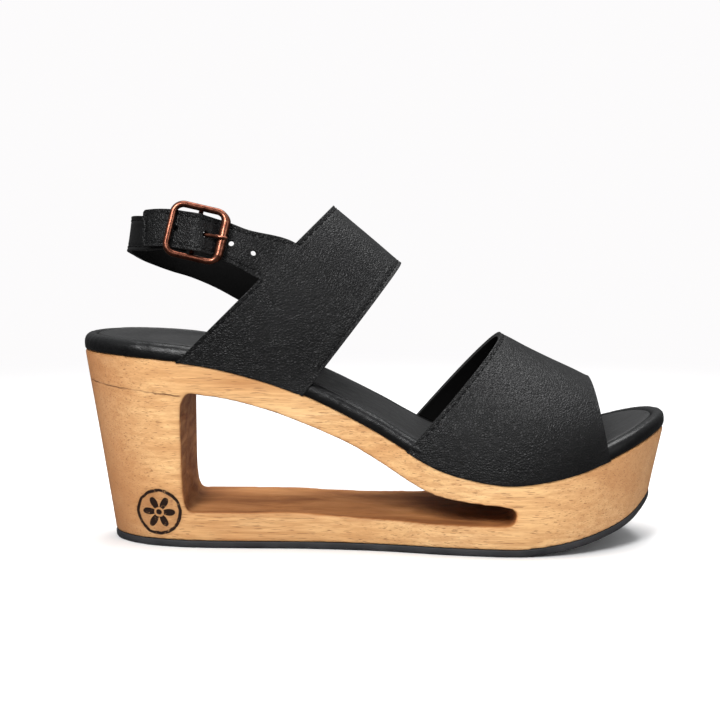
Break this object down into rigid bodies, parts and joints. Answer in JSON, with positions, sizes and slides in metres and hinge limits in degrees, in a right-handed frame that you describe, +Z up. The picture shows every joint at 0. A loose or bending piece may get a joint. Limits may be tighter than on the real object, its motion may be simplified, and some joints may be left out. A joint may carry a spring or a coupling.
{
  "type": "wedge sandal",
  "caption": "Right-foot wedge sandal: open-waisted one-piece wooden platform, leather footbed, wide vamp and instep straps, and a heel strap with a buckle.",
  "frame": {"origin": "on the ground, under the middle of the sandal's bounding box", "axes": "+X to the toe along the sandal's length, +Y to the inner (left) side of this right-foot sandal, +Z up"},
  "size_m": [0.25, 0.0939, 0.147],
  "materials": {
    "wood": "satin oiled",
    "outsole_rubber": "matte",
    "insole_board": "pressed fibre board, matte",
    "foam": "foam, matte",
    "sock_leather": "matte",
    "rand_leather": "soft sheen",
    "upper_leather": "grained, soft sheen",
    "lining_leather": "smooth, matte",
    "thread": "waxed thread",
    "tack_steel": "plain",
    "buckle_copper": "antique copper plate, worn bright on the edges"
  },
  "bodies": {
    "shoe": {"wood_platform": "wood", "outsole": "outsole_rubber", "insole_board": "insole_board", "insole_pad": "foam", "insole_sock": "sock_leather", "insole_rand": "rand_leather", "vamp_upper": "upper_leather", "vamp_lining": "lining_leather", "vamp_thread": "thread", "instep_upper": "upper_leather", "instep_lining": "lining_leather", "instep_thread": "thread", "lasting_tacks": "tack_steel"},
    "heel_strap": {"tab_upper": "upper_leather", "tab_lining": "lining_leather", "tab_thread": "thread", "heel_strap_upper": "upper_leather", "heel_strap_lining": "lining_leather", "heel_strap_thread": "thread", "buckle_fold": "upper_leather"},
    "buckle": {"buckle_frame": "buckle_copper"},
    "prong": {"buckle_prong": "buckle_copper"}
  },
  "joints": [
    {"name": "heel_strap_swing", "type": "hinge", "parent": "shoe", "child": "heel_strap", "pos_m": [-0.0452, -0.0268, 0.1233], "axis": [-0.118, 0.9304, -0.3471], "range_deg": [-20, 8], "stiffness_Nm_per_rad": 0.3},
    {"name": "buckle_tilt", "type": "hinge", "parent": "heel_strap", "child": "buckle", "pos_m": [-0.0728, -0.02967, 0.13341], "axis": [-0.2101, -0.2388, -0.9481], "range_deg": [0, 2]},
    {"name": "prong_lift", "type": "hinge", "parent": "buckle", "child": "prong", "pos_m": [-0.0728, -0.02967, 0.13341], "axis": [-0.2101, -0.2388, -0.9481], "range_deg": [0, 4]}
  ]
}
